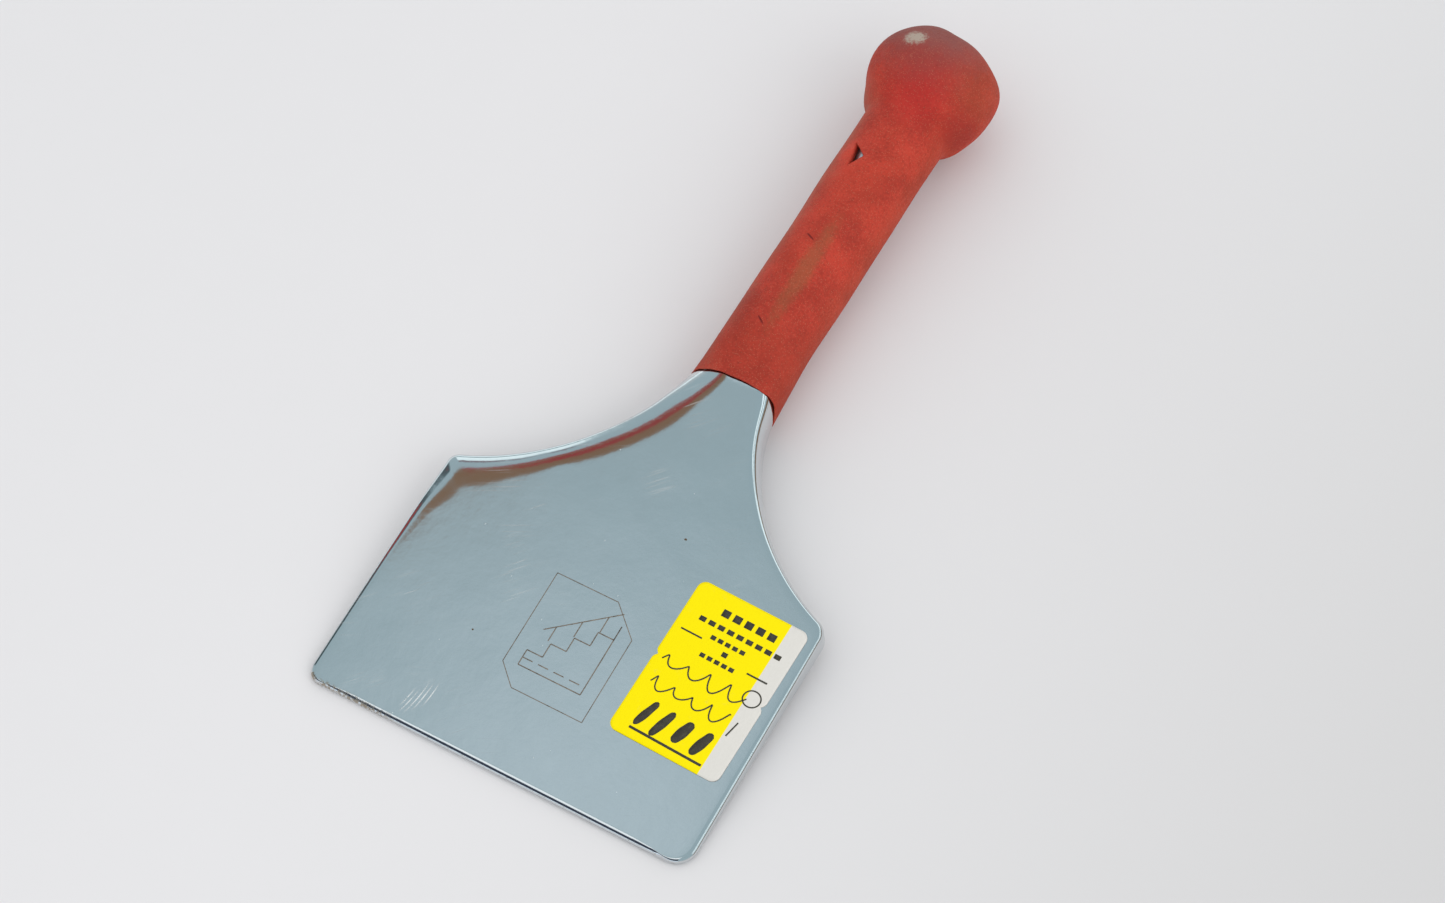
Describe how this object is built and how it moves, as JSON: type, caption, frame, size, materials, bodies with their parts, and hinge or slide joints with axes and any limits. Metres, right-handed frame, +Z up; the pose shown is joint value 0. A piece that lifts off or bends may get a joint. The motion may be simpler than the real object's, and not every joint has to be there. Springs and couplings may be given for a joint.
{
  "type": "wide-blade stair tool",
  "caption": "Hand tool for tucking stair carpet: a wide flat chrome blade with hollow flanks on a straight round handle, covered to its ball end by a vinyl grip.",
  "frame": {"origin": "centre of the base of the bounding box, on the bench under the lying tool", "axes": "+Y from the blade's front edge to the ball, +X across the blade, +Z up from the bench"},
  "size_m": [0.127, 0.2766, 0.0415],
  "materials": {
    "plated_steel": "polished chrome plating with fine scratches and worn edges",
    "weld_metal": "rough weld bead",
    "bare_steel": "turned steel, hidden",
    "vinyl": "dip-moulded vinyl, dull, dusty and soiled by use",
    "label": "coated paper label, yellow with a white strip"
  },
  "bodies": {
    "root": {"blade": "plated_steel", "shank": "plated_steel", "neck_weld": "weld_metal", "ball": "bare_steel", "ball_weld": "weld_metal", "grip": "vinyl", "price_label": "label"}
  },
  "joints": []
}
